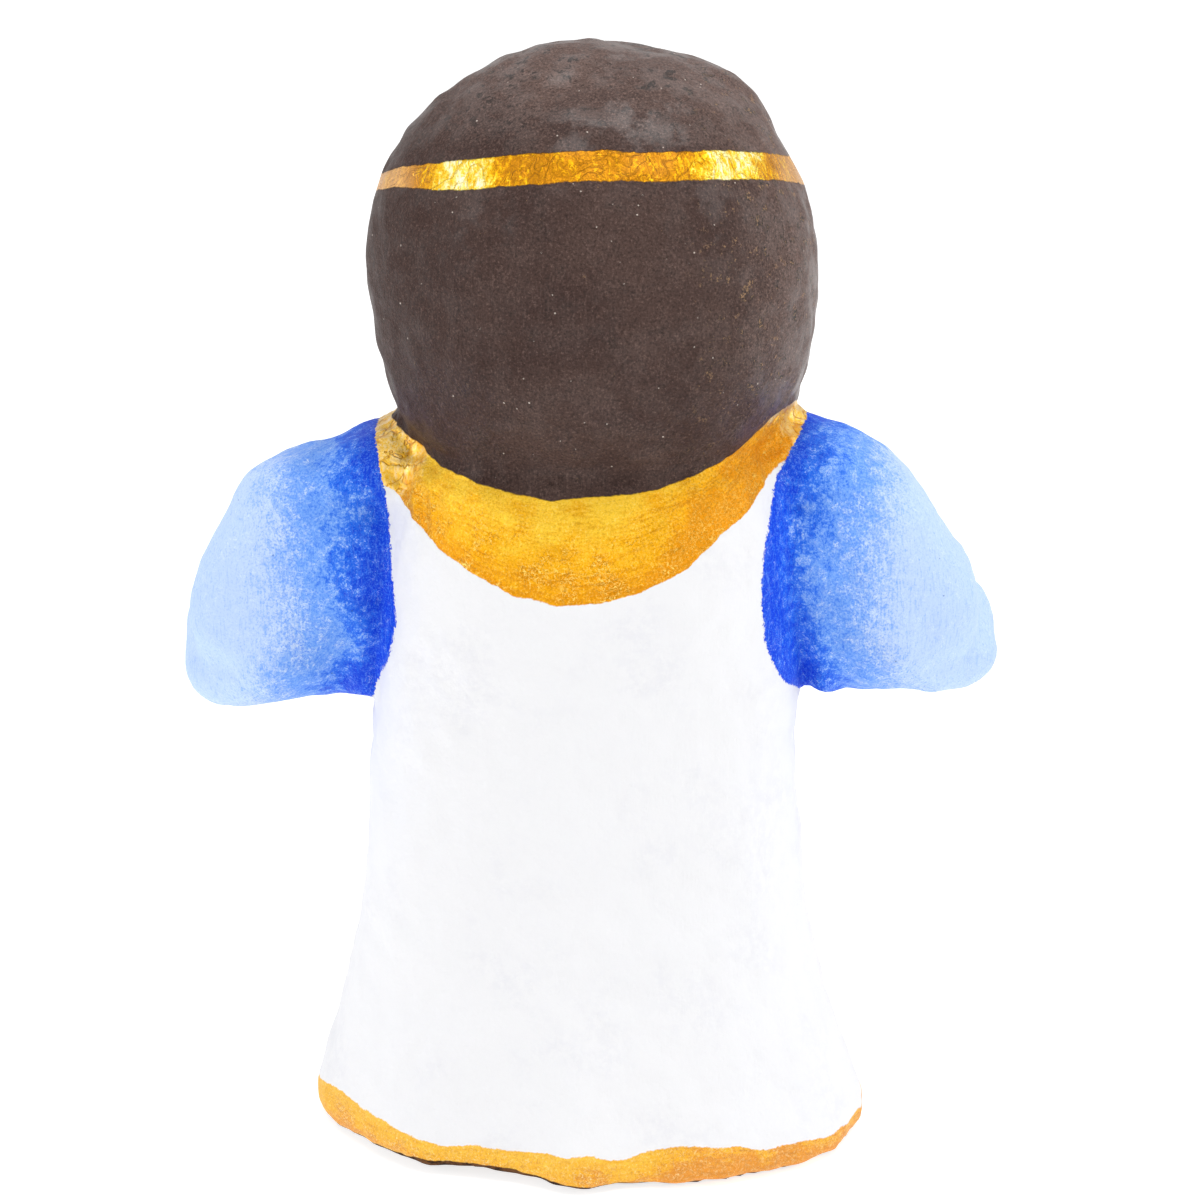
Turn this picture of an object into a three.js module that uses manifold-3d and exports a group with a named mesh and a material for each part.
// A painted papier-mache figure: a round-headed, robed attendant with bent arms in wide sleeves
// and hands held together before the chest. It was moulded as one piece, so it is one closed
// solid here. Millimetres, +Z up, the face towards -Y, the back towards +Y, standing on z = 0.

import * as THREE from 'three';
import { LoftGeometry } from 'three/addons/geometries/LoftGeometry.js';
import { mergeVertices } from 'three/addons/utils/BufferGeometryUtils.js';
import Module from 'manifold-3d';

// Robe, from the face that it stands on up into the head. Each station gives its height,
// its half width, its depth behind and in front of the middle, and its shift towards +X.
const ROBE_STATIONS = [
	[ 0, 53.5, 37.5, 36.5, 0.3 ], // flat standing face
	[ 0.5, 58.2, 42.4, 40.8, 0.3 ], // lower edge of the hem
	[ 1.6, 60.3, 44.8, 42.9, 0.3 ],
	[ 4, 61, 45.4, 43.5, 0.4 ], // fullest point of the hem
	[ 9, 59.7, 44, 42.6, 0.8 ],
	[ 17, 57.3, 41.8, 41, 1.4 ],
	[ 31, 53.3, 38.8, 38.5, 1.7 ],
	[ 46, 50.1, 36.8, 36.6, 1.8 ],
	[ 64, 47.7, 35.4, 35, 2 ], // knees
	[ 92, 46.3, 35.4, 34.6, 1.8 ], // waist, the narrowest point
	[ 112, 46.3, 37.6, 35.6, 1 ],
	[ 130, 46.5, 39.2, 36.5, 0.6 ], // upper back
	[ 145, 45, 38.2, 35, 0.3 ],
	[ 154, 41, 33.5, 31, 0 ], // under the hair
	[ 163, 12, 9, 9, 0 ],
];
const ROBE_SQUARENESS = 2.15;
const ROBE_COLUMNS = 50;
const ROBE_ROW_PITCH = 7.7;
const ROBE_PLAIN_FROM = 9; // above this height the rows are evenly spaced

// Soft bulges and hollows of the skirt: direction, half angle in degrees, reach at the hem.
const SKIRT_WAVES = [
	[ 14, 12, - 1.2 ],
	[ 28, 13, - 2.4 ],
	[ 52, 12, - 0.8 ],
	[ 63, 9, - 1.6 ],
	[ 87, 9, 4.4 ],
	[ 122, 14, 3 ],
	[ 146, 14, 3 ],
	[ 215, 16, 1.2 ],
	[ 258, 11, 1.8 ],
	[ 292, 13, 1.4 ],
	[ 330, 15, - 1 ],
];
const SKIRT_WAVE_TOP = 62; // the waves have died out at this height

// The hem curls up off the ground a little behind, on the +X side.
const HEM_LIFT = 1.1;
const HEM_LIFT_DIRECTION = 55;
const HEM_LIFT_SPREAD = 36;
const HEM_LIFT_TOP = 9;

// Head with its cap of hair: an egg, upright above its middle and fuller below it.
const HEAD_CENTRE = [ 0, 0.5, 190 ];
const HEAD_HALF_WIDTH = 47.8;
const HEAD_BACK = 43.5;
const HEAD_FRONT = 41;
const HEAD_RISE = 48.7;
const HEAD_DROP = 50;
const HEAD_PLAN_SQUARENESS = 2.1;
const HEAD_JAW_SQUARENESS = 2.45;
const HEAD_TOP_ROWS = 10;
const HEAD_FACE_ROWS = 18;
const HEAD_NECK_ROWS = 3;
const HEAD_FACE_COLUMNS = 20;
const HEAD_HAIR_COLUMNS = 28;
const HEAD_FACE_HALF_ANGLE = 38; // the finer columns of the face reach this far from the front

// Uneven hand-modelled lumps of the head: azimuth, elevation, half angle in degrees, height.
const HEAD_LUMPS = [
	[ 187, 53, 15, 2.6 ],
	[ 8, 36, 22, 1.1 ],
	[ 0, - 24, 12, - 2.9 ],
	[ 180, - 26, 12, - 0.5 ],
	[ 90, 68, 20, - 0.8 ],
	[ 180, 78, 12, - 0.9 ],
	[ 184, 30, 14, - 0.5 ],
];

// Face: an oval set back under the edge of the hair. Its height runs in equal thirds from
// the hairline to the brows, to the foot of the nose and to the chin, and it is five eyes wide.
const FACE_HEIGHT = 178.5;
const FACE_HALF_WIDTH = 29.5;
const FACE_HALF_HEIGHT = 26;
const FACE_SET_BACK = 2.6;
const FACE_EDGE = 0.13; // share of the oval over which the hair steps down to the face

// Features, forwards from the face: sideways place, height, half width, half height, relief.
// Those with a sideways place are made on both sides.
const FACE_FEATURES = [
	[ 0, 181.8, 2.8, 6.5, 2.4 ], // bridge of the nose
	[ 0, 175.2, 3.6, 3.2, 4.6 ], // tip of the nose
	[ 4.3, 174.2, 2.2, 2, 1.8 ], // nostril wings
	[ 11, 190.6, 7, 2.6, 1.1 ], // brows
	[ 11.5, 185.4, 6, 4, - 2.1 ], // eye sockets
	[ 11.5, 184.8, 4.4, 2.4, 2.2 ], // eyelids
	[ 16.5, 173, 8, 7, 1.6 ], // cheeks
	[ 0, 168, 5.8, 1.5, 1.7 ], // upper lip
	[ 0, 166.2, 6.4, 0.75, - 1.4 ], // mouth
	[ 0, 164.5, 4.6, 1.6, 1.9 ], // lower lip
	[ 0, 161.7, 4.8, 1.2, - 0.8 ],
	[ 0, 158, 6.6, 3.2, 2.2 ], // chin
];

// Sleeves: each station is a place with the sleeve's half breadth and half height there. The
// two arms are alike but not twins. The figure's own left arm is on the +X side.
const LEFT_UPPER_SLEEVE = [
	[ 56, 0.5, 133.8, 19.6, 20.8 ], // shoulder
	[ 67.4, - 2, 116.4, 19.6, 20 ],
];
const LEFT_FOREARM_SLEEVE = [
	[ 68, - 3, 111.4, 20.2, 16.6 ], // elbow
	[ 43, - 22.5, 111, 16.4, 18.6 ],
	[ 17.5, - 42, 109, 12.8, 22 ], // cuff
];
const RIGHT_UPPER_SLEEVE = [
	[ - 51.4, 0.5, 134.4, 19.6, 21.4 ],
	[ - 64.8, - 2, 117.4, 19.6, 20 ],
];
const RIGHT_FOREARM_SLEEVE = [
	[ - 67, - 3, 112.2, 20.4, 15.4 ],
	[ - 43, - 22.5, 112, 16.4, 18 ],
	[ - 17.5, - 42, 109, 12.8, 22 ],
];
const SLEEVE_SQUARENESS = 2.45;
const ELBOW_SQUARENESS = 3.9;
const FOREARM_LEAN = 21; // degrees that the forearm's sleeve hangs down on its outer side

// Ridge of the shoulders, from one to the other under the hair.
const SHOULDER_RIDGE = [
	[ 58, 0.5, 139.6, 17, 10.5 ],
	[ 46, 0.5, 147.3, 18, 10.9 ],
	[ - 47, 0.5, 147.4, 18, 10.9 ],
	[ - 57, 0.5, 143.8, 17, 10.5 ],
];
const RIDGE_COLUMNS = 16;
const RIDGE_ROWS = 6;
const SLEEVE_COLUMNS = 24;
const UPPER_ROWS = 3;
const FOREARM_ROWS = 7;
const CUFF_WALL = 2.2;
const CUFF_DEPTH = 6;

// Hands, given for the +X side: each station is a place with the hand's half thickness and
// half width there. They press together at the middle.
const HAND_STATIONS = [
	[ 21, - 38, 107, 5.6, 7 ],
	[ 12.5, - 43, 110.5, 5.2, 6.8 ], // wrist
	[ 6.6, - 46, 117.5, 5.2, 8 ],
	[ 4.8, - 46.6, 125.5, 5, 8.6 ], // palm
	[ 4.2, - 45.2, 134, 4.3, 7.2 ],
	[ 3.6, - 43.4, 141, 3.4, 5.2 ], // finger tips
];
const HAND_SQUARENESS = 2.4;
const HAND_COLUMNS = 14;
const HAND_ROWS = 8;

// Thumbs, crossed over the near edge of the hands.
const THUMB_STATIONS = [
	[ 8, - 50, 118, 2.8, 3 ],
	[ 5, - 54, 125.5, 2.7, 2.8 ],
	[ 2.8, - 53.6, 132, 2.2, 2.3 ],
];
const THUMB_ROWS = 4;
const THUMB_COLUMNS = 10;

const DOME_ROWS = 4; // rows of each rounded end
const POLE_ANGLE = 3; // degrees left flat at a pole, where the rows would close to a point
const PAINT = '#eee9e4';
const PAINT_ROUGHNESS = 0.72;

const FRONT = - 90; // direction that the figure faces, in degrees from +X

// Smooth curve through stations that never swings past them: a cubic whose slope at each
// station is the weighted harmonic mean of the slopes on either side.
function through( places, values ) {

	const slopes = values.slice( 1 ).map( ( value, i ) => ( value - values[ i ] ) / ( places[ i + 1 ] - places[ i ] ) );
	const last = places.length - 1;
	const tangents = values.map( ( _, i ) => {

		if ( i === 0 ) return slopes[ 0 ];
		if ( i === last ) return slopes[ last - 1 ];
		if ( slopes[ i - 1 ] * slopes[ i ] <= 0 ) return 0;
		const before = places[ i ] - places[ i - 1 ];
		const after = places[ i + 1 ] - places[ i ];
		const nearer = 2 * after + before;
		const farther = after + 2 * before;
		return ( nearer + farther ) / ( nearer / slopes[ i - 1 ] + farther / slopes[ i ] );

	} );
	return ( place ) => {

		const next = places.findIndex( ( p, i ) => i > 0 && place <= p );
		const i = next < 0 ? last - 1 : next - 1;
		const span = places[ i + 1 ] - places[ i ];
		const t = ( place - places[ i ] ) / span;
		const square = t * t;
		const cube = square * t;
		return ( 2 * cube - 3 * square + 1 ) * values[ i ] + ( cube - 2 * square + t ) * span * tangents[ i ]
			+ ( 3 * square - 2 * cube ) * values[ i + 1 ] + ( cube - square ) * span * tangents[ i + 1 ];

	};

}

// One smooth curve for each column of a table of stations, over its first column.
function curvesOf( stations ) {

	const places = stations.map( ( station ) => station[ 0 ] );
	return stations[ 0 ].slice( 1 ).map( ( _, k ) => through( places, stations.map( ( station ) => station[ k + 1 ] ) ) );

}

const power = ( value, exponent ) => Math.sign( value ) * Math.abs( value ) ** exponent;
const bell = ( distance, reach ) => Math.exp( - ( ( distance / reach ) ** 2 ) );
const smooth = ( share ) => THREE.MathUtils.smoothstep( share, 0, 1 );

// Shortest way round from one direction to another, in degrees.
const turn = ( from, to ) => THREE.MathUtils.euclideanModulo( to - from + 180, 360 ) - 180;

// Evenly spaced values from start to end, both included.
function steps( start, end, count ) {

	return Array.from( { length: count + 1 }, ( _, i ) => start + ( end - start ) * i / count );

}

// Solid of a closed geometry, its vertices merged by place alone.
function solidOf( wasm, geometry ) {

	const bare = new THREE.BufferGeometry().setIndex( geometry.index );
	const merged = mergeVertices( bare.setAttribute( 'position', geometry.attributes.position ) );
	return new wasm.Manifold( new wasm.Mesh( {
		numProp: 3,
		vertProperties: merged.attributes.position.array,
		triVerts: new Uint32Array( merged.index.array ),
	} ) );

}

// Geometry of a solid.
function geometryOf( solid ) {

	const mesh = solid.getMesh();
	const geometry = new THREE.BufferGeometry();
	geometry.setAttribute( 'position', new THREE.Float32BufferAttribute( mesh.vertProperties, 3 ) );
	geometry.setIndex( new THREE.Uint32BufferAttribute( mesh.triVerts, 1 ) );
	geometry.computeVertexNormals();
	return geometry;

}

// Robe: squared ovals stacked on the stations' curves, waved and lifted near the hem.
function robe() {

	const [ halfWidth, behind, before, shift ] = curvesOf( ROBE_STATIONS );
	const top = ROBE_STATIONS.at( - 1 )[ 0 ];
	const hemRows = ROBE_STATIONS.map( ( station ) => station[ 0 ] ).filter( ( height ) => height < ROBE_PLAIN_FROM );
	const plainRows = Math.round( ( top - ROBE_PLAIN_FROM ) / ROBE_ROW_PITCH );
	const heights = [ ...hemRows, ...steps( ROBE_PLAIN_FROM, top, plainRows ) ];
	const sections = heights.map( ( height ) => steps( 0, 360, ROBE_COLUMNS ).slice( 0, - 1 ).map( ( angle ) => {

		const across = power( Math.cos( angle * THREE.MathUtils.DEG2RAD ), 2 / ROBE_SQUARENESS );
		const along = power( Math.sin( angle * THREE.MathUtils.DEG2RAD ), 2 / ROBE_SQUARENESS );
		const spot = new THREE.Vector3( halfWidth( height ) * across, ( along > 0 ? behind : before )( height ) * along, 0 );
		const direction = Math.atan2( spot.y, spot.x ) * THREE.MathUtils.RAD2DEG;
		const fading = Math.max( 0, 1 - height / SKIRT_WAVE_TOP ) ** 1.5;
		const wave = SKIRT_WAVES.reduce( ( sum, [ at, reach, out ] ) => sum + out * bell( turn( at, direction ), reach ), 0 );
		spot.setLength( spot.length() + wave * fading );
		const curl = HEM_LIFT * bell( turn( HEM_LIFT_DIRECTION, direction ), HEM_LIFT_SPREAD );
		const lift = height > 0 ? curl * Math.max( 0, 1 - height / HEM_LIFT_TOP ) : 0;
		return spot.add( new THREE.Vector3( shift( height ), 0, height + lift ) );

	} ) );
	return new LoftGeometry( sections, { capStart: true, capEnd: true } );

}

// How far the face's surface stands in front of the hair's, at a place seen from the front.
function faceRelief( x, z ) {

	const oval = Math.hypot( x / FACE_HALF_WIDTH, ( z - FACE_HEIGHT ) / FACE_HALF_HEIGHT );
	const inside = smooth( ( 1 - oval ) / FACE_EDGE + 0.5 );
	const modelled = FACE_FEATURES.reduce( ( sum, [ side, height, halfWidth, halfHeight, relief ] ) => {

		const places = side === 0 ? [ 0 ] : [ - side, side ];
		return sum + places.reduce( ( both, place ) =>
			both + relief * bell( Math.hypot( ( x - place ) / halfWidth, ( z - height ) / halfHeight ), 1 ), 0 );

	}, 0 );
	return inside * ( modelled - FACE_SET_BACK );

}

// Head: an egg whose rows run from the neck to the crown, finer over the face.
function head() {

	const faceTop = 72;
	const faceBottom = 130;
	const angles = [
		...steps( 180 - POLE_ANGLE, faceBottom, HEAD_NECK_ROWS ).slice( 0, - 1 ),
		...steps( faceBottom, faceTop, HEAD_FACE_ROWS ).slice( 0, - 1 ),
		...steps( faceTop, POLE_ANGLE, HEAD_TOP_ROWS ),
	];
	const directions = [
		...steps( FRONT - HEAD_FACE_HALF_ANGLE, FRONT + HEAD_FACE_HALF_ANGLE, HEAD_FACE_COLUMNS ).slice( 0, - 1 ),
		...steps( FRONT + HEAD_FACE_HALF_ANGLE, FRONT + 360 - HEAD_FACE_HALF_ANGLE, HEAD_HAIR_COLUMNS ).slice( 0, - 1 ),
	];
	const centre = new THREE.Vector3( ...HEAD_CENTRE );
	const lumps = HEAD_LUMPS.map( ( [ azimuth, elevation, reach, out ] ) => {

		const axis = new THREE.Vector3( 1, 0, 0 )
			.applyAxisAngle( new THREE.Vector3( 0, - 1, 0 ), elevation * THREE.MathUtils.DEG2RAD )
			.applyAxisAngle( new THREE.Vector3( 0, 0, 1 ), azimuth * THREE.MathUtils.DEG2RAD );
		return { axis, reach: reach * THREE.MathUtils.DEG2RAD, out };

	} );
	const sections = angles.map( ( angle ) => {

		const upward = Math.cos( angle * THREE.MathUtils.DEG2RAD );
		const outward = Math.sin( angle * THREE.MathUtils.DEG2RAD );
		const below = upward < 0;
		const ring = below ? outward ** ( 2 / HEAD_JAW_SQUARENESS ) : outward;
		const height = below ? HEAD_DROP * power( upward, 2 / HEAD_JAW_SQUARENESS ) : HEAD_RISE * upward;
		return directions.map( ( direction ) => {

			const across = power( Math.cos( direction * THREE.MathUtils.DEG2RAD ), 2 / HEAD_PLAN_SQUARENESS );
			const along = power( Math.sin( direction * THREE.MathUtils.DEG2RAD ), 2 / HEAD_PLAN_SQUARENESS );
			const depth = along > 0 ? HEAD_BACK : HEAD_FRONT;
			const spot = new THREE.Vector3( HEAD_HALF_WIDTH * ring * across, depth * ring * along, height );
			const out = lumps.reduce( ( sum, lump ) => sum + lump.out * bell( lump.axis.angleTo( spot ), lump.reach ), 0 );
			spot.setLength( spot.length() + out ).add( centre );
			if ( along < 0 ) spot.y -= faceRelief( spot.x, spot.z );
			return spot;

		} );

	} );
	return new LoftGeometry( sections, { capStart: true, capEnd: true } );

}

// A limb along stations of [x, y, z, half breadth, half height], with a rounded start and
// either a rounded or a flat end. Breadth is measured at right angles to the given upright,
// and the whole section leans over by an angle about the path.
function limb( {
	stations, upright, rows, columns, squareness, domeSquareness = 2, domeDepth, flatEnd = false, lean = 0,
} ) {

	const path = new THREE.CatmullRomCurve3( stations.map( ( [ x, y, z ] ) => new THREE.Vector3( x, y, z ) ) );
	const shares = stations.map( ( _, i ) => i / ( stations.length - 1 ) );
	const breadthAt = through( shares, stations.map( ( station ) => station[ 3 ] ) );
	const heightAt = through( shares, stations.map( ( station ) => station[ 4 ] ) );
	const section = ( share, offset, scale ) => {

		const tangent = path.getTangent( share );
		const side = new THREE.Vector3().crossVectors( upright, tangent ).normalize()
			.applyAxisAngle( tangent, lean * THREE.MathUtils.DEG2RAD );
		const up = new THREE.Vector3().crossVectors( tangent, side );
		const centre = path.getPoint( share ).addScaledVector( tangent, offset );
		return steps( 0, 360, columns ).slice( 0, - 1 ).map( ( angle ) => {

			const across = power( Math.cos( angle * THREE.MathUtils.DEG2RAD ), 2 / squareness );
			const along = power( Math.sin( angle * THREE.MathUtils.DEG2RAD ), 2 / squareness );
			return centre.clone()
				.addScaledVector( side, breadthAt( share ) * scale * across )
				.addScaledVector( up, heightAt( share ) * scale * along );

		} );

	};
	const dome = ( share, angle ) => {

		const reach = domeDepth ?? Math.min( breadthAt( share ), heightAt( share ) );
		const offset = reach * power( Math.sin( angle * THREE.MathUtils.DEG2RAD ), 2 / domeSquareness );
		return section( share, offset, Math.cos( angle * THREE.MathUtils.DEG2RAD ) ** ( 2 / domeSquareness ) );

	};
	const sections = [
		...steps( POLE_ANGLE - 90, 0, DOME_ROWS ).slice( 0, - 1 ).map( ( angle ) => dome( 0, angle ) ),
		...steps( 0, 1, rows ).map( ( share ) => section( share, 0, 1 ) ),
		...( flatEnd ? [] : steps( 0, 90 - POLE_ANGLE, DOME_ROWS ).slice( 1 ).map( ( angle ) => dome( 1, angle ) ) ),
	];
	return new LoftGeometry( sections, { capStart: true, capEnd: true } );

}

// One arm: an upper sleeve, a forearm with a hollow cuff, and the hand that comes out of it.
function arm( wasm, upperStations, forearmStations ) {

	const side = Math.sign( upperStations[ 0 ][ 0 ] );
	const mirrored = ( [ x, ...rest ] ) => [ side * x, ...rest ];
	const piece = ( stations, options ) => solidOf( wasm, limb( { stations, ...options } ) );
	const sleeve = { upright: new THREE.Vector3( 0, 0, 1 ), columns: SLEEVE_COLUMNS, squareness: SLEEVE_SQUARENESS };
	const fingers = { upright: new THREE.Vector3( 0, 1, 0 ), squareness: HAND_SQUARENESS };
	const upper = piece( upperStations, { ...sleeve, rows: UPPER_ROWS } );
	const forearm = { ...sleeve, domeSquareness: ELBOW_SQUARENESS, flatEnd: true, lean: - side * FOREARM_LEAN };
	const fore = piece( forearmStations, { ...forearm, rows: FOREARM_ROWS } );

	// The hollow of the cuff starts inside the forearm and runs out past its end.
	const cuff = forearmStations.at( - 1 );
	const [ breadth, height ] = cuff.slice( 3 ).map( ( size ) => size - CUFF_WALL );
	const wayOut = new THREE.Vector3( ...cuff ).sub( new THREE.Vector3( ...forearmStations[ 0 ] ) ).normalize();
	const mouthAt = ( distance ) => [ ...new THREE.Vector3( ...cuff ).addScaledVector( wayOut, distance ), breadth, height ];
	const mouth = piece( [ mouthAt( - CUFF_DEPTH ), mouthAt( CUFF_DEPTH ) ], { ...forearm, domeDepth: 1, rows: 1 } );
	const hand = piece( HAND_STATIONS.map( mirrored ), { ...fingers, rows: HAND_ROWS, columns: HAND_COLUMNS } );
	const thumb = piece( THUMB_STATIONS.map( mirrored ), { ...fingers, rows: THUMB_ROWS, columns: THUMB_COLUMNS } );
	return fore.subtract( mouth ).add( upper ).add( hand ).add( thumb );

}

const wasm = await Module();
wasm.setup();

const ridge = limb( {
	stations: SHOULDER_RIDGE,
	upright: new THREE.Vector3( 0, 0, 1 ),
	rows: RIDGE_ROWS,
	columns: RIDGE_COLUMNS,
	squareness: 2,
} );
const body = solidOf( wasm, robe() )
	.add( solidOf( wasm, ridge ) )
	.add( solidOf( wasm, head() ) )
	.add( arm( wasm, LEFT_UPPER_SLEEVE, LEFT_FOREARM_SLEEVE ) )
	.add( arm( wasm, RIGHT_UPPER_SLEEVE, RIGHT_FOREARM_SLEEVE ) );

const figure = new THREE.Mesh(
	geometryOf( body ),
	new THREE.MeshStandardMaterial( { color: PAINT, roughness: PAINT_ROUGHNESS, metalness: 0 } ),
);
figure.name = 'figure';

const part = new THREE.Group();
part.add( figure );

export default part;
